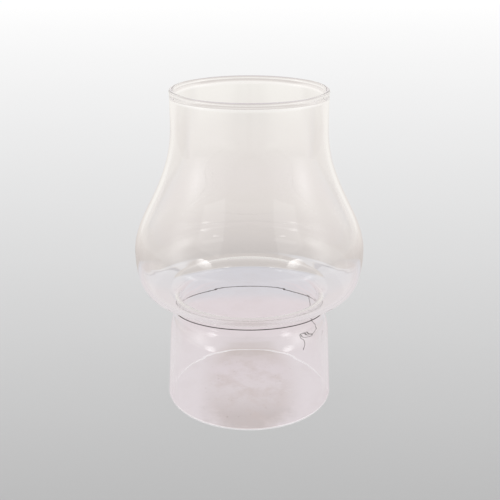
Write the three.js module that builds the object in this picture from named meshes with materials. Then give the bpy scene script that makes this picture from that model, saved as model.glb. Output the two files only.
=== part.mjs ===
// Glass lamp shade of an oil lamp, with a thin wire tied loosely round its waist.
// Millimetres, +Z up, origin at the centre of the ring that the shade stands on, -Y is its front.
// The shade is one blown piece: open collar, pinched waist, bulb, straight neck and a melted bead rim.
// The wire is one length, held as three solids: its turn round the waist, its twist and its loose tail.
import * as THREE from 'three';

// Sizes of the glass: radii are to the outside, heights are above the foot
const shadeHeight = 190;
const wall = 2.2;
const footRadius = 50.75;
const footChamfer = 0.4;
const collarTopRadius = 48.5;
const collarTopHeight = 42;
const waistRadius = 44;
const waistHeight = 63;
const waistFillet = 5.5;
const bulbRadius = 67.7;
const bulbHeight = 95.6;
const neckRadius = 44.85;
const neckHeight = 171;
const beadRadius = 1.35;

// How the glass outline swells between those sizes
const bulbFloorAngle = THREE.MathUtils.degToRad(6.2);
const shoulderHandleShare = 0.5;
const bulbFloorHandleShare = 0.588;
const bulbSideHandleShare = 0.89;
const bulbCrownHandleShare = 0.284;
const neckHandleShare = 0.487;

// Sizes of the wire
const wireRadius = 0.25;
const seatGap = 0.3;
const sideSlack = 0.15;
const twistLength = 3;
const twistRadius = 0.55;
const twistLift = 0.45;
const twistAngle = THREE.MathUtils.degToRad(31.3);

// Where the tilted turn of wire leans on the shoulder, as shares of the shoulder's curve
const frontSeatShare = 0.96;
const backSeatShare = 0.26;

// How finely the solids are cut
const turnSegments = 60;
const shoulderSteps = 6;
const filletSteps = 6;
const bulbFloorSteps = 8;
const bulbCrownSteps = 10;
const beadSteps = 10;
const wireSides = 8;
const loopSteps = 96;
const tailSteps = 80;
const twistSides = 12;
const halvings = 30;

// Points that the loose tail runs through, down the outside of the collar, with its kinks and its curl
const tailRoute = [
  [40.1, 26.4, 51.1], [40.5, 26.7, 49.7], [40.8, 26.9, 48.1], [41.2, 26.7, 46.0],
  [41.5, 26.6, 43.8], [41.2, 27.3, 41.6], [41.2, 27.6, 39.4], [41.5, 27.3, 37.2],
  [42.3, 26.1, 35.4], [43.6, 24.1, 34.6], [44.9, 21.8, 33.9], [45.2, 21.2, 32.4],
  [45.0, 22.0, 30.6], [44.5, 23.4, 28.8], [44.5, 25.3, 27.1], [44.3, 28.0, 24.6],
  [43.6, 30.8, 22.0], [43.8, 33.4, 20.1], [45.2, 35.6, 19.3], [45.8, 37.9, 18.7],
  [45.1, 40.5, 18.1], [43.2, 42.3, 17.6], [40.6, 42.9, 17.4], [38.1, 42.1, 17.5],
  [36.3, 40.1, 17.8], [35.8, 37.5, 18.2], [36.8, 35.0, 18.7], [38.9, 33.3, 18.9],
  [41.5, 33.0, 18.9], [43.9, 34.0, 18.6], [45.5, 36.2, 18.1], [45.7, 38.9, 17.4],
  [44.6, 41.3, 16.9], [42.3, 42.7, 16.5], [39.7, 42.8, 16.4], [37.3, 41.5, 16.5],
  [36.0, 39.2, 16.7], [35.9, 36.8, 16.8], [37.0, 34.7, 16.6], [38.5, 33.2, 15.6],
  [39.2, 32.4, 13.8], [39.2, 32.6, 11.6], [38.9, 33.3, 9.6], [38.6, 33.8, 7.9],
];

// Curves of the glass outline, with the radius across and the height up
const footCorner = new THREE.Vector2(footRadius, footChamfer);
const collarTop = new THREE.Vector2(collarTopRadius, collarTopHeight);
const waist = new THREE.Vector2(waistRadius, waistHeight);
const bulbSide = new THREE.Vector2(bulbRadius, bulbHeight);
const neckStart = new THREE.Vector2(neckRadius, neckHeight);

const collarSlope = collarTop.clone().sub(footCorner).normalize();
const shoulderHandle = (waistHeight - collarTopHeight) * shoulderHandleShare;
const shoulderCurve = new THREE.CubicBezierCurve(
  collarTop,
  collarTop.clone().addScaledVector(collarSlope, shoulderHandle),
  new THREE.Vector2(waistRadius, waistHeight - shoulderHandle),
  waist,
);

const filletCentre = new THREE.Vector2(waistRadius + waistFillet, waistHeight);
const filletTurn = Math.PI / 2 - bulbFloorAngle;
const filletCurve = new THREE.EllipseCurve(
  filletCentre.x, filletCentre.y, waistFillet, waistFillet, Math.PI, Math.PI - filletTurn, true,
);
const bulbFloor = filletCurve.getPoint(1);

const floorHandle = (bulbRadius - bulbFloor.x) * bulbFloorHandleShare;
const sideHandle = (bulbHeight - bulbFloor.y) * bulbSideHandleShare;
const bulbFloorCurve = new THREE.CubicBezierCurve(
  bulbFloor,
  new THREE.Vector2(
    bulbFloor.x + floorHandle * Math.cos(bulbFloorAngle),
    bulbFloor.y + floorHandle * Math.sin(bulbFloorAngle),
  ),
  new THREE.Vector2(bulbRadius, bulbHeight - sideHandle),
  bulbSide,
);

const crownRise = neckHeight - bulbHeight;
const bulbCrownCurve = new THREE.CubicBezierCurve(
  bulbSide,
  new THREE.Vector2(bulbRadius, bulbHeight + crownRise * bulbCrownHandleShare),
  new THREE.Vector2(neckRadius, neckHeight - crownRise * neckHandleShare),
  neckStart,
);

// Samples of a curve after its first point, each with the wall's inner point square behind it
function samples(curve, steps) {
  const list = [];
  for (let step = 1; step <= steps; step += 1) {
    const outer = curve.getPoint(step / steps);
    const along = curve.getTangent(step / steps);
    const inner = new THREE.Vector2(outer.x - along.y * wall, outer.y + along.x * wall);
    list.push({ outer, inner });
  }
  return list;
}

// The closed outline of the wall: foot, outside, bead and inside
function glassOutline() {
  const wallSamples = [
    ...samples(new THREE.LineCurve(footCorner, collarTop), 1),
    ...samples(shoulderCurve, shoulderSteps),
    ...samples(filletCurve, filletSteps),
    ...samples(bulbFloorCurve, bulbFloorSteps),
    ...samples(bulbCrownCurve, bulbCrownSteps),
  ];
  const beadJoin = Math.acos(wall / 2 / beadRadius);
  const bead = new THREE.EllipseCurve(
    neckRadius - wall / 2, shadeHeight - beadRadius, beadRadius, beadRadius,
    -beadJoin, Math.PI + beadJoin, false,
  );
  const footInside = footRadius - wall;
  return [
    new THREE.Vector2(footRadius - footChamfer, 0),
    footCorner,
    ...wallSamples.map((sample) => sample.outer),
    ...bead.getPoints(beadSteps),
    ...wallSamples.map((sample) => sample.inner).reverse(),
    new THREE.Vector2(footInside, footChamfer),
    new THREE.Vector2(footInside + footChamfer, 0),
    new THREE.Vector2(footRadius - footChamfer, 0),
  ];
}

// A lathe turns about Y, so each lathe solid is stood up along +Z
function turned(outline, segments) {
  const geometry = new THREE.LatheGeometry(outline, segments);
  geometry.rotateX(Math.PI / 2);
  return geometry;
}

function named(name, geometry, material) {
  const mesh = new THREE.Mesh(geometry, material);
  mesh.name = name;
  return mesh;
}

// The turn of wire: a tilted oval that leans on the waist in front and low on the shoulder behind,
// and passes close beside the glass on both sides
function seatPoint(share) {
  const touch = shoulderCurve.getPoint(share);
  const along = shoulderCurve.getTangent(share);
  const reach = wireRadius + seatGap;
  return new THREE.Vector2(touch.x + along.y * reach, touch.y - along.x * reach);
}

const frontSeat = seatPoint(frontSeatShare);
const backSeat = seatPoint(backSeatShare);
const frontPoint = new THREE.Vector3(0, -frontSeat.x, frontSeat.y);
const backPoint = new THREE.Vector3(0, backSeat.x, backSeat.y);
const loopCentre = frontPoint.clone().lerp(backPoint, 1 / 2);
const loopReach = frontPoint.distanceTo(backPoint) / 2;
const loopBack = backPoint.clone().sub(frontPoint).normalize();
const loopRight = new THREE.Vector3(1, 0, 0);

// Outside radius of the shoulder at a height, found by halving the curve
function shoulderRadiusAt(height) {
  let low = 0;
  let high = 1;
  for (let round = 0; round < halvings; round += 1) {
    const middle = (low + high) / 2;
    if (shoulderCurve.getPoint(middle).y < height) {
      low = middle;
    } else {
      high = middle;
    }
  }
  return shoulderCurve.getPoint(low).x;
}

const loopHalfWidth = shoulderRadiusAt(loopCentre.z) + wireRadius + seatGap + sideSlack;

class LoopCurve extends THREE.Curve {
  constructor(startAngle, endAngle) {
    super();
    this.startAngle = startAngle;
    this.endAngle = endAngle;
  }

  getPoint(share, target = new THREE.Vector3()) {
    const angle = this.startAngle + (this.endAngle - this.startAngle) * share;
    return target.copy(loopCentre)
      .addScaledVector(loopRight, loopHalfWidth * Math.cos(angle))
      .addScaledVector(loopBack, loopReach * Math.sin(angle));
  }
}

function wireSection(radius, sides) {
  const corners = [];
  for (let side = 0; side < sides; side += 1) {
    const angle = 2 * Math.PI * side / sides;
    corners.push(new THREE.Vector2(radius * Math.cos(angle), radius * Math.sin(angle)));
  }
  return new THREE.Shape(corners);
}

function wireAlong(curve, steps) {
  const section = wireSection(wireRadius, wireSides);
  return new THREE.ExtrudeGeometry(section, { steps, extrudePath: curve });
}

const turn = 2 * Math.PI;
const loopGapAngle = (twistLength / 2 + seatGap) / loopReach;
const loopCurve = new LoopCurve(twistAngle + loopGapAngle, twistAngle + turn - loopGapAngle);

// The twist: a short barrel on the loop's line, as wide as two wires wound together
function twistOutline() {
  const half = twistLength / 2;
  const round = twistRadius - wireRadius;
  return [
    new THREE.Vector2(0, -half),
    new THREE.Vector2(wireRadius, -half),
    new THREE.Vector2(twistRadius, -half + round),
    new THREE.Vector2(twistRadius, half - round),
    new THREE.Vector2(wireRadius, half),
    new THREE.Vector2(0, half),
  ];
}

const twistCurve = new LoopCurve(twistAngle - loopGapAngle, twistAngle + loopGapAngle);
const twistMiddle = twistCurve.getPoint(1 / 2);
const twistDirection = twistCurve.getTangent(1 / 2);
const outward = new THREE.Vector3(twistMiddle.x, twistMiddle.y, 0).normalize();
const twistPlace = twistMiddle.clone().addScaledVector(outward, twistLift);

const tailCurve = new THREE.CatmullRomCurve3(tailRoute.map((point) => new THREE.Vector3(...point)));

// Materials
const clearGlass = new THREE.MeshStandardMaterial({
  color: 0xe6e2de, roughness: 0.04, metalness: 0, transparent: true, opacity: 0.35,
});
const loopIron = new THREE.MeshStandardMaterial({ color: 0x4a4340, roughness: 0.55, metalness: 0.8 });
const twistIron = new THREE.MeshStandardMaterial({ color: 0x453d39, roughness: 0.6, metalness: 0.8 });
const tailIron = new THREE.MeshStandardMaterial({ color: 0x4d4643, roughness: 0.55, metalness: 0.8 });

// The assembly
const shade = new THREE.Group();
shade.add(named('glass_shade', turned(glassOutline(), turnSegments), clearGlass));

const wire = new THREE.Group();
wire.add(named('wire_loop', wireAlong(loopCurve, loopSteps), loopIron));
const twist = named('wire_twist', new THREE.LatheGeometry(twistOutline(), twistSides), twistIron);
twist.position.copy(twistPlace);
twist.quaternion.setFromUnitVectors(new THREE.Vector3(0, 1, 0), twistDirection);
wire.add(twist);
wire.add(named('wire_tail', wireAlong(tailCurve, tailSteps), tailIron));
shade.add(wire);

export default shade;
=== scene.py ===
# Looks of the glass lamp shade with a wire round its waist.
# Metres, +Z up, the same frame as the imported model: the shade stands on z = 0 and -Y is its front.
import math

import bpy
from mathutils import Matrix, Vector, noise


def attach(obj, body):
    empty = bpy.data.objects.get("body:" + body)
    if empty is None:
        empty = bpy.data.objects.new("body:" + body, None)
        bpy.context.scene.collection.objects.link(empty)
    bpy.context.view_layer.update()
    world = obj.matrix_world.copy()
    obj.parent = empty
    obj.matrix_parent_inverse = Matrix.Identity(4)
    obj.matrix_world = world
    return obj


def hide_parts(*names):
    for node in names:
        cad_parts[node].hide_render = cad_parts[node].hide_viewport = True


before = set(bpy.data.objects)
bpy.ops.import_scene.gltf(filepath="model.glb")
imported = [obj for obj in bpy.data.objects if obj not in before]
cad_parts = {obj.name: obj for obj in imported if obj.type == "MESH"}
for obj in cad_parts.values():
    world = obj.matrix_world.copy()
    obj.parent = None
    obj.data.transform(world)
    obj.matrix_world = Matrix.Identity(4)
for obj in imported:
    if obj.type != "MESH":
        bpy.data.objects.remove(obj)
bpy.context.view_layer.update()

MM = 0.001

# Camera, fitted to the rim's and the foot's ellipses
CAMERA_DISTANCE = 0.4732
CAMERA_HEIGHT = 0.2735
CAMERA_PITCH = 0.364138
CAMERA_LENS = 60.81
CAMERA_SHIFT_X = 0.0014
SENSOR = 36
CLIP_NEAR, CLIP_FAR = 0.01, 20
PICTURE_ROWS = 500

# Clear glass seen through clear glass needs long light paths
GLASS_BOUNCES = 96
TRANSPARENT_BOUNCES = 16

scene = bpy.context.scene
scene.view_settings.view_transform = "Standard"
scene.cycles.max_bounces = GLASS_BOUNCES
scene.cycles.transmission_bounces = GLASS_BOUNCES
scene.cycles.glossy_bounces = GLASS_BOUNCES
scene.cycles.transparent_max_bounces = TRANSPARENT_BOUNCES


def add_camera():
    data = bpy.data.cameras.new("camera")
    data.lens = CAMERA_LENS
    data.sensor_width = SENSOR
    data.shift_x = CAMERA_SHIFT_X
    data.clip_start = CLIP_NEAR
    data.clip_end = CLIP_FAR
    camera = bpy.data.objects.new("camera", data)
    camera.location = (0, -CAMERA_DISTANCE, CAMERA_HEIGHT)
    camera.rotation_euler = (math.pi / 2 - CAMERA_PITCH, 0, 0)
    scene.collection.objects.link(camera)
    scene.camera = camera


add_camera()


# Helpers for colours, meshes and node materials
def linear(level):
    """Linear value of an sRGB level from 0 to 255."""
    c = level / 255
    return c / 12.92 if c <= 0.04045 else ((c + 0.055) / 1.055) ** 2.4


def srgb(r, g, b):
    return (linear(r), linear(g), linear(b), 1)


def new_mesh(name, vertices, faces, smooth=True):
    mesh = bpy.data.meshes.new(name)
    mesh.from_pydata(vertices, [], faces)
    mesh.update()
    if smooth:
        mesh.polygons.foreach_set("use_smooth", [True] * len(mesh.polygons))
    piece = bpy.data.objects.new(name, mesh)
    scene.collection.objects.link(piece)
    return piece


class Graph:
    """Short names for the node types that the materials and the world share."""

    def __init__(self, tree):
        self.nodes = tree.nodes
        self.links = tree.links

    def feed(self, socket, value):
        if hasattr(value, "links"):
            self.links.new(value, socket)
        else:
            socket.default_value = value

    def feed_inputs(self, node, inputs):
        """Feed a node's inputs by their names, in which an underscore stands for a space."""
        for name, value in inputs.items():
            self.feed(node.inputs[name.replace("_", " ")], value)

    def node(self, kind, **inputs):
        node = self.nodes.new(kind)
        self.feed_inputs(node, inputs)
        return node

    def shade(self, **inputs):
        """Feed the material's own shader."""
        self.feed_inputs(self.nodes["Principled BSDF"], inputs)

    def math(self, operation, *values):
        node = self.nodes.new("ShaderNodeMath")
        node.operation = operation
        for socket, value in zip(node.inputs, values):
            self.feed(socket, value)
        return node.outputs[0]

    def add(self, first, second):
        return self.math("ADD", first, second)

    def subtract(self, first, second):
        return self.math("SUBTRACT", first, second)

    def multiply(self, first, second):
        return self.math("MULTIPLY", first, second)

    def absolute(self, value):
        return self.math("ABSOLUTE", value)

    def share_squared(self, value, middle, half):
        """Square of the distance from the middle, where half is 1."""
        return self.math("POWER", self.math("DIVIDE", self.subtract(value, middle), half), 2.0)

    def split(self, vector):
        """X, Y and Z of a vector."""
        return self.node("ShaderNodeSeparateXYZ", Vector=vector).outputs

    def vector_math(self, operation, vector, output):
        node = self.node("ShaderNodeVectorMath", Vector=vector)
        node.operation = operation
        return node.outputs[output]

    def remap(self, value, given, wanted, smooth=False):
        """The value carried from the given pair of numbers to the wanted pair, and held at its ends."""
        node = self.node(
            "ShaderNodeMapRange", Value=value,
            From_Min=given[0], From_Max=given[1], To_Min=wanted[0], To_Max=wanted[1],
        )
        if smooth:
            node.interpolation_type = "SMOOTHSTEP"
        return node.outputs[0]

    def fade(self, value, reach, share=1.0):
        """Nothing at the first number of reach, share at the second, and smooth in between."""
        return self.remap(value, reach, (0.0, share), smooth=True)

    def mix(self, share, first, second, blend="MIX"):
        node = self.nodes.new("ShaderNodeMix")
        node.data_type = "RGBA"
        node.blend_type = blend
        for index, value in ((0, share), (6, first), (7, second)):
            self.feed(node.inputs[index], value)
        return node.outputs[2]

    def ramp(self, value, stops):
        """Colours at positions, whatever range the positions cover."""
        low, high = stops[0][0], stops[-1][0]
        node = self.nodes.new("ShaderNodeValToRGB")
        elements = node.color_ramp.elements
        while len(elements) < len(stops):
            elements.new(0.5)
        for element, (position, colour) in zip(elements, stops):
            element.position = (position - low) / (high - low)
            element.color = colour
        self.links.new(self.remap(value, (low, high), (0.0, 1.0)), node.inputs[0])
        return node.outputs[0]

    def noise(self, vector, scale, detail, roughness):
        node = self.node(
            "ShaderNodeTexNoise", Vector=vector, Scale=scale, Detail=detail, Roughness=roughness,
        )
        return node.outputs[0]

    def object_place(self):
        return self.nodes.new("ShaderNodeTexCoord").outputs["Object"]


def new_material(name):
    material = bpy.data.materials.new(name)
    material.use_nodes = True
    return material, Graph(material.node_tree)


# Floor and backdrop: big planes, their colour fading from light far away to a mid grey near the camera
FLOOR_NEAR, FLOOR_FAR = -4, 3.2
FLOOR_HALF = 3.2
FLOOR_DROP = 0.0002
BACKDROP_HEIGHT = 2.4


def plane(name, *corners):
    return new_mesh(name, corners, [(0, 1, 2, 3)], smooth=False)


floor = plane(
    "floor", (-FLOOR_HALF, FLOOR_NEAR, 0), (FLOOR_HALF, FLOOR_NEAR, 0),
    (FLOOR_HALF, FLOOR_FAR, 0), (-FLOOR_HALF, FLOOR_FAR, 0),
)
floor.location.z = -FLOOR_DROP

backdrop = plane(
    "backdrop", (-FLOOR_HALF, FLOOR_FAR, 0), (FLOOR_HALF, FLOOR_FAR, 0),
    (FLOOR_HALF, FLOOR_FAR, BACKDROP_HEIGHT), (-FLOOR_HALF, FLOOR_FAR, BACKDROP_HEIGHT),
)

# Room: darker behind the camera, bright at its sides and its back, and bluish overhead
ROOM_STRENGTH = 0.85
ROOM_TINT = (1, 0.985, 0.965, 1)
ROOM_TURN = (0.3, 1.0)
ROOM_LEVELS = (0.47, 1.05)
OVERHEAD_COLOUR = (0.4, 0.41, 0.44, 1)
OVERHEAD_RISE = (0.3, 0.75)

# The soft light on each side of the room, which the glass mirrors: direction, half size and level
SIDE_LIGHT_AZIMUTH, SIDE_LIGHT_HEIGHT = math.radians(76), math.radians(10)
SIDE_LIGHT_HALF_WIDTH, SIDE_LIGHT_HALF_HEIGHT = math.radians(13), math.radians(11)
SIDE_LIGHT_LEVEL = 1.2


def room_level(graph, x, y):
    """The room's brightness in a direction: low behind the camera, high at the sides and the back."""
    turned = graph.math("MAXIMUM", graph.absolute(x), y)
    return graph.remap(turned, ROOM_TURN, ROOM_LEVELS, smooth=True)


def side_light(graph, x, y, z):
    azimuth = graph.math("ARCTAN2", graph.absolute(x), graph.multiply(y, -1.0))
    height = graph.math("ARCSINE", z)
    across = graph.share_squared(azimuth, SIDE_LIGHT_AZIMUTH, SIDE_LIGHT_HALF_WIDTH)
    upright = graph.share_squared(height, SIDE_LIGHT_HEIGHT, SIDE_LIGHT_HALF_HEIGHT)
    bell = graph.math("EXPONENT", graph.multiply(graph.add(across, upright), -1.0))
    return graph.multiply(bell, SIDE_LIGHT_LEVEL)


def build_room():
    world = bpy.data.worlds.new("studio")
    scene.world = world
    world.use_nodes = True
    graph = Graph(world.node_tree)
    x, y, z = graph.split(graph.nodes.new("ShaderNodeTexCoord").outputs["Generated"])
    walls = graph.mix(1.0, ROOM_TINT, room_level(graph, x, y), "MULTIPLY")
    sky = graph.mix(graph.fade(z, OVERHEAD_RISE), walls, OVERHEAD_COLOUR)
    # The side lights show in the glass and don't light the floor
    ray = graph.nodes.new("ShaderNodeLightPath")
    mirrored = graph.subtract(1.0, ray.outputs["Is Diffuse Ray"])
    sky = graph.mix(1.0, sky, graph.multiply(side_light(graph, x, y, z), mirrored), "ADD")
    background = graph.nodes["Background"]
    graph.links.new(sky, background.inputs["Color"])
    background.inputs["Strength"].default_value = ROOM_STRENGTH


build_room()


# Floor paint: a plain grey for the camera, and a painted table and wall for the glass
def floor_position(row):
    """World Y of the floor seen at a row of the picture."""
    angle = CAMERA_PITCH + math.atan((row - PICTURE_ROWS / 2) / PICTURE_ROWS * SENSOR / CAMERA_LENS)
    return CAMERA_HEIGHT / math.tan(angle) - CAMERA_DISTANCE


def stops(colours):
    """Ramp stops from places along Y and sRGB colours."""
    return [(place, srgb(*colour)) for place, colour in colours]


def row_stops(colours):
    """Ramp stops from rows of the picture and sRGB colours."""
    return [(floor_position(row), srgb(*colour)) for row, colour in colours]


# Most of the paint glows by itself, and the rest takes the lamps' light and the shadow
EMITTED_SHARE = 0.8
EMITTED_STRENGTH = 1.14

# The plain grey: its sRGB level falls evenly by row, down to the row taken for the floor's near end
TOP_LEVEL, LEVEL_PER_ROW = 252.5, -0.128
NEAREST_ROW = 900
PLAIN_ROWS = (640, 500, 410, 330, 260, 200, 150, 110, 75, 45, 20, 0)
FARTHEST_LEVEL = 255

# The wall's colours by row of the picture
WALL_COLOURS = (
    (280, (206, 199, 195)), (250, (212, 205, 201)), (225, (221, 214, 210)),
    (200, (228, 222, 217)), (175, (232, 226, 222)), (150, (234, 229, 224)),
    (120, (236, 232, 227)), (90, (241, 238, 233)), (60, (246, 243, 239)),
)
# Other colours over it, each from the place where it starts to the place where it has its full share
HIGH_WALL_REACH, HIGH_WALL_COLOUR = (0.05, 0.6), srgb(214, 208, 204)
FAR_SIDE_REACH, FAR_SIDE_SHARE, FAR_SIDE_COLOUR = (0.6, 1.2), 0.35, srgb(205, 200, 196)
PALE_SIDE_REACH, PALE_SIDE_DEPTH, PALE_SIDE_SHARE = (0.24, 0.36), (0.5, 0.6), 0.55
PALE_SIDE_COLOUR = srgb(252, 249, 245)

# The table's colours, near the camera by place along Y and farther off by row of the picture
NEAR_TABLE_COLOURS = (
    (-1.2, (160, 155, 153)), (-0.5, (196, 189, 190)), (-0.15, (218, 209, 211)), (-0.05, (225, 217, 220)),
)
TABLE_COLOURS = (
    (345, (225, 217, 220)), (325, (224, 214, 217)), (303, (224, 214, 217)),
    (290, (215, 213, 218)), (262, (212, 211, 217)),
)
# Other colours over it, with such places too: painted light beside the collar, painted light at the
# sides that the glass mirrors, and the last runs into the room
BESIDE_START, BESIDE_END, BESIDE_SHARE = (0.05, 0.066), (0.3, 0.16), 0.4
BESIDE_PAINTED_LIGHT = srgb(227, 225, 225)
LIT_SIDE_REACH, LIT_SIDE_DEPTH = (0.16, 0.6), (0.15, -0.05)
LIT_SIDE_COLOUR = (1.1, 1.075, 1.045, 1)
OUTER_REACH, OUTER_DEPTH = (0.7, 1.8), (0.2, -0.3)

# The painted brownish shadow on the table that shows through the collar: its half width, half length,
# middle and colours
SHADOW_PATCH_WIDTH, SHADOW_PATCH_LENGTH, SHADOW_PATCH_PLACE = 0.03, 0.064, 0.006
SHADOW_PATCH_COLOURS = (
    (-0.06, (201, 191, 190)), (-0.034, (200, 190, 189)), (-0.016, (213, 204, 205)),
    (0.0, (219, 210, 212)), (0.025, (220, 210, 213)), (0.048, (208, 197, 195)),
    (0.062, (215, 206, 206)), (0.09, (220, 211, 214)),
)
SHADOW_PATCH_RIM = (1.2, 0.7)
SHADOW_PATCH_WANDER = 1.1
CLOUD_SCALE, CLOUD_DETAIL, CLOUD_ROUGHNESS = 60, 5, 0.65
MOTTLE_RANGE, MOTTLE_SHARES, MOTTLE_OUTSIDE = (0.45, 0.66), (0, 0.55), 0.25
MOTTLE_COLOUR = srgb(203, 190, 187)
SPECK_SCALE, SPECK_DETAIL, SPECK_ROUGHNESS = 420, 1, 0.5
SPECK_RANGE, SPECK_SHARES = (0.71, 0.8), (0, 0.4)
SPECK_COLOUR = srgb(140, 118, 110)

# The table's far edge: its row in the picture's middle, and how it bows and slants sideways
EDGE_ROW = 268.2
EDGE_PLACE = floor_position(EDGE_ROW)
EDGE_BOW, EDGE_BOW_END, EDGE_SLANT = 3.9, 0.08, 0.03
# Its two lines: place past the edge, reach, share and colour
LIGHT_LINE = (0.003, (0.004, 0.001), 0.5, srgb(236, 236, 240))
DARK_LINE = (-0.0012, (0.0018, 0.0006), 0.55, srgb(170, 164, 166))


def plain_paint(graph, y):
    def level(row):
        return (TOP_LEVEL + LEVEL_PER_ROW * row,) * 3

    return graph.ramp(
        y, stops([(FLOOR_NEAR, level(NEAREST_ROW))])
        + row_stops([(row, level(row)) for row in PLAIN_ROWS])
        + stops([(FLOOR_FAR, (FARTHEST_LEVEL,) * 3)]),
    )


def wall_paint(graph, sideways, y, z):
    wall = graph.ramp(y, row_stops(WALL_COLOURS))
    wall = graph.mix(graph.fade(z, HIGH_WALL_REACH), wall, HIGH_WALL_COLOUR)
    wall = graph.mix(graph.fade(sideways, FAR_SIDE_REACH, FAR_SIDE_SHARE), wall, FAR_SIDE_COLOUR)
    pale = graph.multiply(
        graph.fade(sideways, PALE_SIDE_REACH, PALE_SIDE_SHARE), graph.fade(y, PALE_SIDE_DEPTH),
    )
    return graph.mix(pale, wall, PALE_SIDE_COLOUR)


def with_painted_shadow(graph, position, x, y, table):
    """The table top with its painted brownish shadow, mottled and specked with dust."""
    cloudy = graph.noise(position, CLOUD_SCALE, CLOUD_DETAIL, CLOUD_ROUGHNESS)
    across = graph.share_squared(x, 0.0, SHADOW_PATCH_WIDTH)
    along = graph.share_squared(y, SHADOW_PATCH_PLACE, SHADOW_PATCH_LENGTH)
    wander = graph.multiply(graph.subtract(cloudy, 0.5), SHADOW_PATCH_WANDER)
    # The painted shadow: a soft brownish patch on the table under the shade
    shadow_patch = graph.fade(graph.add(graph.math("SQRT", graph.add(across, along)), wander), SHADOW_PATCH_RIM)
    table = graph.mix(shadow_patch, table, graph.ramp(y, stops(SHADOW_PATCH_COLOURS)))
    mottle = graph.multiply(
        graph.remap(cloudy, MOTTLE_RANGE, MOTTLE_SHARES), graph.add(shadow_patch, MOTTLE_OUTSIDE),
    )
    table = graph.mix(mottle, table, MOTTLE_COLOUR)
    specks = graph.noise(position, SPECK_SCALE, SPECK_DETAIL, SPECK_ROUGHNESS)
    specks = graph.multiply(graph.remap(specks, SPECK_RANGE, SPECK_SHARES), shadow_patch)
    return graph.mix(specks, table, SPECK_COLOUR)


def table_paint(graph, position, x, y, sideways):
    table = graph.ramp(y, stops(NEAR_TABLE_COLOURS) + row_stops(TABLE_COLOURS))
    table = with_painted_shadow(graph, position, x, y, table)
    # Painted light: the table paler beside the collar
    painted_light_beside = graph.multiply(
        graph.fade(sideways, BESIDE_START, BESIDE_SHARE), graph.fade(sideways, BESIDE_END),
    )
    return graph.mix(painted_light_beside, table, BESIDE_PAINTED_LIGHT)


def without_horizon(graph, position, y, table):
    """In front and at the sides the floor runs into the room's own brightness."""
    toward_x, toward_y, _ = graph.split(graph.vector_math("NORMALIZE", position, "Vector"))
    level = graph.multiply(room_level(graph, toward_x, toward_y), ROOM_STRENGTH)
    distance = graph.vector_math("LENGTH", position, "Value")
    outer = graph.multiply(graph.fade(distance, OUTER_REACH), graph.fade(y, OUTER_DEPTH))
    return graph.mix(outer, table, graph.mix(1.0, ROOM_TINT, level, "MULTIPLY"))


def at_the_edge(graph, x, y, table, wall):
    """The table up to its far edge, the wall past it and the edge's two lines."""
    bow = graph.math("MINIMUM", graph.multiply(x, x), EDGE_BOW_END ** 2)
    edge = graph.subtract(EDGE_PLACE, graph.multiply(bow, EDGE_BOW))
    past = graph.subtract(y, graph.add(edge, graph.multiply(x, EDGE_SLANT)))
    paint = graph.mix(graph.math("GREATER_THAN", past, 0.0), table, wall)
    for place, reach, share, colour in (LIGHT_LINE, DARK_LINE):
        near = graph.absolute(graph.subtract(past, place))
        paint = graph.mix(graph.fade(near, reach, share), paint, colour)
    return paint


def floor_material():
    """What the glass shows, through it and mirrored in it, is a rose-white table top with a painted
    brownish shadow, bluish towards its far edge, the edge itself and a beige wall behind it that pales
    upwards.
    """
    material, graph = new_material("floor_paint")
    graph.nodes.clear()
    position = graph.nodes.new("ShaderNodeNewGeometry").outputs["Position"]
    x, y, z = graph.split(position)
    sideways = graph.absolute(x)
    # Painted light at the sides, on wall and table alike, for the glass to mirror as bright sides
    lit_side = graph.multiply(graph.fade(sideways, LIT_SIDE_REACH), graph.fade(y, LIT_SIDE_DEPTH))
    wall = graph.mix(lit_side, wall_paint(graph, sideways, y, z), LIT_SIDE_COLOUR)
    table = graph.mix(lit_side, table_paint(graph, position, x, y, sideways), LIT_SIDE_COLOUR)
    table = without_horizon(graph, position, y, table)
    behind = at_the_edge(graph, x, y, table, wall)
    ray = graph.nodes.new("ShaderNodeLightPath")
    seen = graph.mix(ray.outputs["Is Camera Ray"], behind, plain_paint(graph, y))
    glow = graph.node("ShaderNodeEmission", Color=seen, Strength=EMITTED_STRENGTH)
    lit = graph.node("ShaderNodeBsdfDiffuse", Color=seen)
    blend = graph.nodes.new("ShaderNodeMixShader")
    for index, value in enumerate((1 - EMITTED_SHARE, glow.outputs[0], lit.outputs[0])):
        graph.feed(blend.inputs[index], value)
    graph.node("ShaderNodeOutputMaterial", Surface=blend.outputs[0])
    return material


floor.data.materials.append(floor_material())
backdrop.data.materials.append(floor.data.materials[0])

# Two wide, faint lamps give the floor its soft shadow: place of the right one, aim, watts and size
SHADOW_LAMP = ((1.6, -1.6, 1.5), (0, 0, 0.1), 1.2, (1.2, 0.8))

# Small gridded lamps, out of sight, whose mirror images are the highlights on the bulb and the shoulder.
# Each has the same four values as the wide one
GRIDDED_LAMPS = {
    "bulb": ((0.131, -0.162, 0.14), (0.029, -0.06, 0.085), 0.0006, (0.06, 0.038)),
    "shoulder": ((0.197, -0.154, 0.05), (0.027, -0.036, 0.056), 0.0005, (0.08, 0.05)),
}
GRID_SPREAD = math.radians(26)


def soft_lamp(name, place, aim, watts, size):
    data = bpy.data.lights.new(name, "AREA")
    data.shape = "RECTANGLE"
    data.size, data.size_y = size
    data.energy = watts
    lamp = bpy.data.objects.new(name, data)
    lamp.location = place
    lamp.rotation_euler = (Vector(aim) - Vector(place)).to_track_quat("-Z", "Y").to_euler()
    scene.collection.objects.link(lamp)
    return lamp


def lamp_pair(name, place, aim, watts, size):
    """The same lamp on the left and on the right."""
    return [
        soft_lamp(name % end, (side * place[0], *place[1:]), (side * aim[0], *aim[1:]), watts, size)
        for side, end in ((-1, "left"), (1, "right"))
    ]


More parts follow.
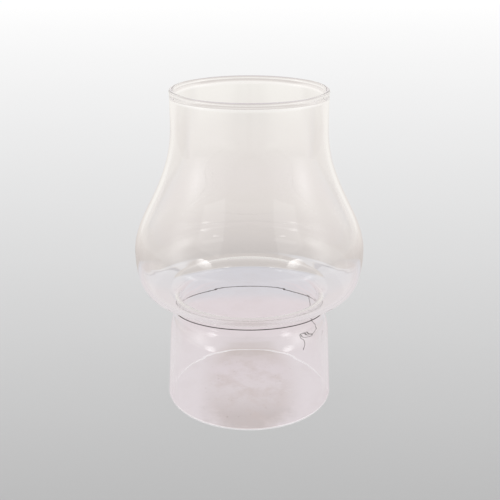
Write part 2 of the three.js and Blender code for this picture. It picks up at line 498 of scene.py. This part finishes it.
lamp_pair("lamp_%s", *SHADOW_LAMP)
for spot, settings in GRIDDED_LAMPS.items():
    for lamp in lamp_pair(spot + "_lamp_%s", *settings):
        lamp.data.shape = "ELLIPSE"
        lamp.data.spread = GRID_SPREAD
        lamp.visible_camera = False


# Glass, in millimetres: the named points of its outside are radius and height
HEIGHT, WALL = 190, 2.2
FOOT = Vector((50.75, 0.4))
COLLAR_TOP = Vector((48.5, 42))
WAIST = Vector((44, 63))
WAIST_FILLET = 5.5
BULB = Vector((67.7, 95.6))
NECK = Vector((44.85, 171))
BEAD_RADIUS = 1.35
BULB_FLOOR_ANGLE = math.radians(6.2)
# How far the curves' handles reach, as shares of the rise or the width between their ends
SHOULDER_SHARE = 0.5
BULB_FLOOR_SHARE, BULB_SIDE_SHARE = 0.588, 0.89
CROWN_SHARE, NECK_SHARE = 0.284, 0.487
# Steps along each stretch of the outline, and round the axis
COLLAR_STEPS, SHOULDER_STEPS, FILLET_STEPS = 12, 40, 16
BULB_STEPS, CROWN_STEPS, NECK_STEPS = 48, 56, 6
BEAD_STEPS, FOOT_STEPS = 28, 6
SEGMENTS = 192


def polar(radius, angle):
    return Vector((radius * math.cos(angle), radius * math.sin(angle)))


def line(start, end, steps):
    """Points after the start, up to the end."""
    return [start + (end - start) * k / steps for k in range(1, steps + 1)]


def arc(centre, radius, start, sweep, steps):
    """Points from the start angle through the sweep, with both ends."""
    return [centre + polar(radius, start + sweep * k / steps) for k in range(steps + 1)]


def cubic(start, leave, arrive, end, steps):
    """Points after the start on a curve with two handles, up to the end."""
    points = []
    for k in range(1, steps + 1):
        t = k / steps
        s = 1 - t
        points.append(
            start * s ** 3 + leave * (3 * s * s * t) + arrive * (3 * s * t * t) + end * t ** 3
        )
    return points


def outline():
    """The glass's outside from the foot's soft edge to the top of the crown's curve."""
    points = [FOOT] + line(FOOT, COLLAR_TOP, COLLAR_STEPS)
    handle = (WAIST.y - COLLAR_TOP.y) * SHOULDER_SHARE
    collar_slope = (COLLAR_TOP - FOOT).normalized()
    points += cubic(
        COLLAR_TOP, COLLAR_TOP + collar_slope * handle, WAIST - Vector((0, handle)), WAIST,
        SHOULDER_STEPS,
    )
    centre = WAIST + Vector((WAIST_FILLET, 0))
    points += arc(centre, WAIST_FILLET, math.pi, BULB_FLOOR_ANGLE - math.pi / 2, FILLET_STEPS)[1:]
    start = points[-1]
    reach = (BULB.x - start.x) * BULB_FLOOR_SHARE
    drop = (BULB.y - start.y) * BULB_SIDE_SHARE
    points += cubic(
        start, start + polar(reach, BULB_FLOOR_ANGLE), BULB - Vector((0, drop)), BULB, BULB_STEPS,
    )
    rise = NECK.y - BULB.y
    points += cubic(
        BULB, BULB + Vector((0, rise * CROWN_SHARE)), NECK - Vector((0, rise * NECK_SHARE)), NECK,
        CROWN_STEPS,
    )
    return points


def wall_inside(outer):
    """The outline moved inwards by the wall's thickness."""
    inner = []
    for k, point in enumerate(outer):
        before, after = outer[max(k - 1, 0)], outer[min(k + 1, len(outer) - 1)]
        along = (after - before).normalized()
        inner.append(point + Vector((-along.y, along.x)) * WALL)
    return inner


def foot_edge():
    """The ground foot: flat, with both edges softened."""
    soft = FOOT.y
    inside = Vector((FOOT.x - WALL + soft, soft))
    outside = Vector((FOOT.x - soft, soft))
    quarter = math.pi / 2
    return (
        arc(inside, soft, 2 * quarter, quarter, FOOT_STEPS)
        + arc(outside, soft, 3 * quarter, quarter, FOOT_STEPS)[:-1]
    )


def glass_profile():
    """The closed section of the wall, and the span of its points that are the wall's inside."""
    outer = outline()
    neck_top = Vector((NECK.x, HEIGHT - 2 * BEAD_RADIUS))
    neck = line(NECK, neck_top, NECK_STEPS)[:-1]
    join = math.acos(WALL / 2 / BEAD_RADIUS)
    bead_middle = Vector((NECK.x - WALL / 2, HEIGHT - BEAD_RADIUS))
    front = outer + neck + arc(bead_middle, BEAD_RADIUS, -join, math.pi + 2 * join, BEAD_STEPS)
    neck_inside = [point - Vector((WALL, 0)) for point in neck]
    back = neck_inside[::-1] + wall_inside(outer)[:0:-1]
    return front + back + foot_edge(), (len(front), len(front) + len(back))


# The hand-blown wall's inside wanders: soft rings near the waist, slow waves and upright streaks
RING_DEPTH, RING_MIDDLE, RING_REACH, RING_PITCH = 0.025, 57, 6.5, 3.9
WAVE_DEPTH, WAVE_COUNT, WAVE_HEIGHT = 0.05, 1.6, 28
STREAK_DEPTH, STREAK_COUNT, STREAK_HEIGHT = 0.02, 7, 90
# The foot and the top stay true. Above the foot and below the top the wandering grows over a stretch
TRUE_FOOT, FOOT_STRETCH = 4, 8
TRUE_TOP, TOP_STRETCH = 180, 12


def wandering(angle, z, count, height):
    """Noise from -1 to 1. The count sets how many waves go round, and the height how long they are."""
    return noise.noise(Vector((*polar(count, angle), z / height)))


def ripple(angle, z):
    """How far the inside wanders, in millimetres."""
    ring = math.exp(-((z - RING_MIDDLE) / RING_REACH) ** 2) * math.sin(2 * math.pi * z / RING_PITCH)
    wave = wandering(angle, z, WAVE_COUNT, WAVE_HEIGHT)
    streak = wandering(angle, z, STREAK_COUNT, STREAK_HEIGHT)
    share = min(1, max(0, (z - TRUE_FOOT) / FOOT_STRETCH)) * min(1, max(0, (TRUE_TOP - z) / TOP_STRETCH))
    return share * (RING_DEPTH * ring + WAVE_DEPTH * wave + STREAK_DEPTH * streak)


def lathe(name, profile, inner):
    """Turn the closed profile about +Z. The points from inner[0] to inner[1] are the wall's inside."""
    vertices, faces = [], []
    count = len(profile)
    for turn in range(SEGMENTS):
        angle = 2 * math.pi * turn / SEGMENTS
        for k, (r, z) in enumerate(profile):
            if inner[0] <= k < inner[1]:
                r -= ripple(angle, z)
            vertices.append((r * math.cos(angle) * MM, r * math.sin(angle) * MM, z * MM))
    for turn in range(SEGMENTS):
        here, there = turn * count, (turn + 1) % SEGMENTS * count
        for k in range(count):
            j = (k + 1) % count
            faces.append((here + k, there + k, there + j, here + j))
    return new_mesh(name, vertices, faces)


WHITE = (1, 1, 1, 1)
GLASS_IOR, GLASS_ROUGHNESS = 1.5, 0.01
# The foot's glow is painted light, given off by the glass itself
FOOT_GLOW_COLOUR, FOOT_GLOW = (1, 0.98, 0.985, 1), 0.22
FOOT_GRAIN_SCALE, FOOT_GRAIN_DETAIL, FOOT_GRAIN_ROUGHNESS = 900, 3, 0.6
FOOT_GRAIN_RANGE, FOOT_ROUGHNESS = (0.3, 0.7), (0.3, 0.5)


def glass_material():
    material, graph = new_material("blown_glass")
    graph.shade(Base_Color=WHITE, Transmission_Weight=1, IOR=GLASS_IOR, Roughness=GLASS_ROUGHNESS)
    return material


def ground_material():
    """The foot's ground edge: frosted, with a painted glow, so it shows as a light line."""
    material, graph = new_material("ground_foot")
    grain = graph.noise(
        graph.object_place(), FOOT_GRAIN_SCALE, FOOT_GRAIN_DETAIL, FOOT_GRAIN_ROUGHNESS,
    )
    graph.shade(
        Base_Color=WHITE, Transmission_Weight=1, IOR=GLASS_IOR,
        Roughness=graph.remap(grain, FOOT_GRAIN_RANGE, FOOT_ROUGHNESS),
        Emission_Color=FOOT_GLOW_COLOUR, Emission_Strength=FOOT_GLOW,
    )
    return material


def build_glass():
    profile, inside_span = glass_profile()
    glass = lathe("shade_glass", profile, inside_span)
    glass.data.materials.append(glass_material())
    glass.data.materials.append(ground_material())
    for face in glass.data.polygons:
        if face.index % len(profile) >= inside_span[1]:
            face.material_index = 1
    return glass


glass = build_glass()
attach(glass, "glass")
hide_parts("glass_shade")


# Wire, in millimetres: the tilted turn, the twist that closes it and the loose tail
WIRE_RADIUS = 0.25
WIRE_SIDES = 12
PIECE_GAP = 0.3
# Where the turn lies in front, high in the waist, and behind, low on the collar's shoulder
FRONT_SEAT = Vector((0, -44.568, 61.806))
BACK_SEAT = Vector((0, 48.033, 48.573))
LOOP_HALF_WIDTH = 45.75
LOOP_STEPS = 640
TWIST_ANGLE = math.radians(31.3)
TWIST_LENGTH, TWIST_LIFT = 3, 0.45
TWIST_TURNS = 2.5
TWIST_STEPS = 96
# The strands' share of the twist's length, and how far they wind off its axis in wire radii
STRAND_SHARE, STRAND_OFFSET = 0.92, 1.1
TAIL_STEPS = 16

# The tail's kinks and its curl, from the twist to the bare end
TAIL_ROUTE = [
    (40.1, 26.4, 51.1), (40.5, 26.7, 49.7), (40.8, 26.9, 48.1), (41.2, 26.7, 46.0),
    (41.5, 26.6, 43.8), (41.2, 27.3, 41.6), (41.2, 27.6, 39.4), (41.5, 27.3, 37.2),
    (42.3, 26.1, 35.4), (43.6, 24.1, 34.6), (44.9, 21.8, 33.9), (45.2, 21.2, 32.4),
    (45.0, 22.0, 30.6), (44.5, 23.4, 28.8), (44.5, 25.3, 27.1), (44.3, 28.0, 24.6),
    (43.6, 30.8, 22.0), (43.8, 33.4, 20.1), (45.2, 35.6, 19.3), (45.8, 37.9, 18.7),
    (45.1, 40.5, 18.1), (43.2, 42.3, 17.6), (40.6, 42.9, 17.4), (38.1, 42.1, 17.5),
    (36.3, 40.1, 17.8), (35.8, 37.5, 18.2), (36.8, 35.0, 18.7), (38.9, 33.3, 18.9),
    (41.5, 33.0, 18.9), (43.9, 34.0, 18.6), (45.5, 36.2, 18.1), (45.7, 38.9, 17.4),
    (44.6, 41.3, 16.9), (42.3, 42.7, 16.5), (39.7, 42.8, 16.4), (37.3, 41.5, 16.5),
    (36.0, 39.2, 16.7), (35.9, 36.8, 16.8), (37.0, 34.7, 16.6), (38.5, 33.2, 15.6),
    (39.2, 32.4, 13.8), (39.2, 32.6, 11.6), (38.9, 33.3, 9.6), (38.6, 33.8, 7.9),
]


def tube(name, points):
    """A round wire along points, closed at both ends, its section carried without twisting."""
    points = [Vector(point) for point in points]
    last = len(points) - 1
    vertices, faces = [], []
    for k, point in enumerate(points):
        along = (points[min(k + 1, last)] - points[max(k - 1, 0)]).normalized()
        across = along.orthogonal() if k == 0 else across - along * across.dot(along)
        across.normalize()
        third = along.cross(across)
        for side in range(WIRE_SIDES):
            c, s = polar(WIRE_RADIUS, 2 * math.pi * side / WIRE_SIDES)
            vertices.append(tuple((point + across * c + third * s) * MM))
    for k in range(last):
        here, there = k * WIRE_SIDES, (k + 1) * WIRE_SIDES
        for side in range(WIRE_SIDES):
            following = (side + 1) % WIRE_SIDES
            faces.append((here + side, here + following, there + following, there + side))
    faces.append(tuple(reversed(range(WIRE_SIDES))))
    faces.append(tuple(last * WIRE_SIDES + side for side in range(WIRE_SIDES)))
    return new_mesh(name, vertices, faces)


def spline(points, steps):
    """Points on a centripetal Catmull-Rom curve through the given ones."""
    points = [Vector(point) for point in points]
    points = [points[0] * 2 - points[1]] + points + [points[-1] * 2 - points[-2]]
    result = []
    for k in range(1, len(points) - 2):
        p0, p1, p2, p3 = points[k - 1:k + 3]
        t0, t1, t2 = ((b - a).length ** 0.5 for a, b in ((p0, p1), (p1, p2), (p2, p3)))
        m1 = ((p1 - p0) / t0 - (p2 - p0) / (t0 + t1) + (p2 - p1) / t1) * t1
        m2 = ((p2 - p1) / t1 - (p3 - p1) / (t1 + t2) + (p3 - p2) / t2) * t1
        for step in range(steps):
            t = step / steps
            result.append(
                p1 * (2 * t ** 3 - 3 * t ** 2 + 1) + m1 * (t ** 3 - 2 * t ** 2 + t)
                + p2 * (3 * t ** 2 - 2 * t ** 3) + m2 * (t ** 3 - t ** 2)
            )
    return result + [points[-2]]


def loop_point(angle):
    """A place on the tilted turn: 0 is its right side and a quarter turn on is its back."""
    middle = (FRONT_SEAT + BACK_SEAT) / 2
    back = (BACK_SEAT - FRONT_SEAT) / 2
    return middle + back * math.sin(angle) + Vector((LOOP_HALF_WIDTH * math.cos(angle), 0, 0))


# Half the angle that the turn leaves open for the twist
LOOP_OPENING = (TWIST_LENGTH / 2 + PIECE_GAP) / ((BACK_SEAT - FRONT_SEAT).length / 2)


def build_loop():
    first = TWIST_ANGLE + LOOP_OPENING
    sweep = 2 * (math.pi - LOOP_OPENING)
    points = [loop_point(first + sweep * k / LOOP_STEPS) for k in range(LOOP_STEPS + 1)]
    return tube("wire_turn_round", points)


def build_twist():
    """Two strands wound round each other, a little outside the turn's own line."""
    before, after = loop_point(TWIST_ANGLE - LOOP_OPENING), loop_point(TWIST_ANGLE + LOOP_OPENING)
    along = (after - before).normalized()
    middle = loop_point(TWIST_ANGLE)
    out = Vector((middle.x, middle.y, 0)).normalized()
    middle = middle + out * TWIST_LIFT
    side = (out - along * out.dot(along)).normalized()
    up = along.cross(side)
    strands = []
    for start in (0, math.pi):
        points = []
        for k in range(TWIST_STEPS + 1):
            share = k / TWIST_STEPS
            c, s = polar(WIRE_RADIUS * STRAND_OFFSET, start + TWIST_TURNS * 2 * math.pi * share)
            run = TWIST_LENGTH * STRAND_SHARE * (share - 0.5)
            points.append(middle + along * run + side * c + up * s)
        strands.append(tube("wire_strand_%d" % len(strands), points))
    return strands


DARK_IRON, WORN_IRON = (0.045, 0.036, 0.034, 1), (0.11, 0.085, 0.075, 1)
WEAR_SCALE, WEAR_DETAIL, WEAR_GRAIN = 260, 4, 0.6
WEAR_COLOUR_RANGE = (0.35, 0.7)
WEAR_ROUGHNESS_RANGE, IRON_ROUGHNESS = (0.3, 0.7), (0.4, 0.7)
IRON_METALLIC = 0.7
DENT_SCALE, DENT_DETAIL, DENT_GRAIN = 1800, 3, 0.6
DENT_STRENGTH, DENT_DEPTH = 0.4, 0.00005


def wire_material():
    material, graph = new_material("iron_wire")
    place = graph.object_place()
    worn = graph.noise(place, WEAR_SCALE, WEAR_DETAIL, WEAR_GRAIN)
    dents = graph.node(
        "ShaderNodeBump", Strength=DENT_STRENGTH, Distance=DENT_DEPTH,
        Height=graph.noise(place, DENT_SCALE, DENT_DETAIL, DENT_GRAIN),
    )
    graph.shade(
        Base_Color=graph.mix(graph.remap(worn, WEAR_COLOUR_RANGE, (0.0, 1.0)), DARK_IRON, WORN_IRON),
        Roughness=graph.remap(worn, WEAR_ROUGHNESS_RANGE, IRON_ROUGHNESS),
        Metallic=IRON_METALLIC, Normal=dents.outputs[0],
    )
    return material


wire_iron = wire_material()
loop = build_loop()
strands = build_twist()
tail_points = spline(TAIL_ROUTE, TAIL_STEPS)
tail = tube("wire_loose_tail", tail_points)

for piece, node in (
    (loop, "wire_loop"), (strands[0], "wire_twist"), (strands[1], "wire_twist"), (tail, "wire_tail"),
):
    piece.data.materials.append(wire_iron)
    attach(piece, "wire")
    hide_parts(node)
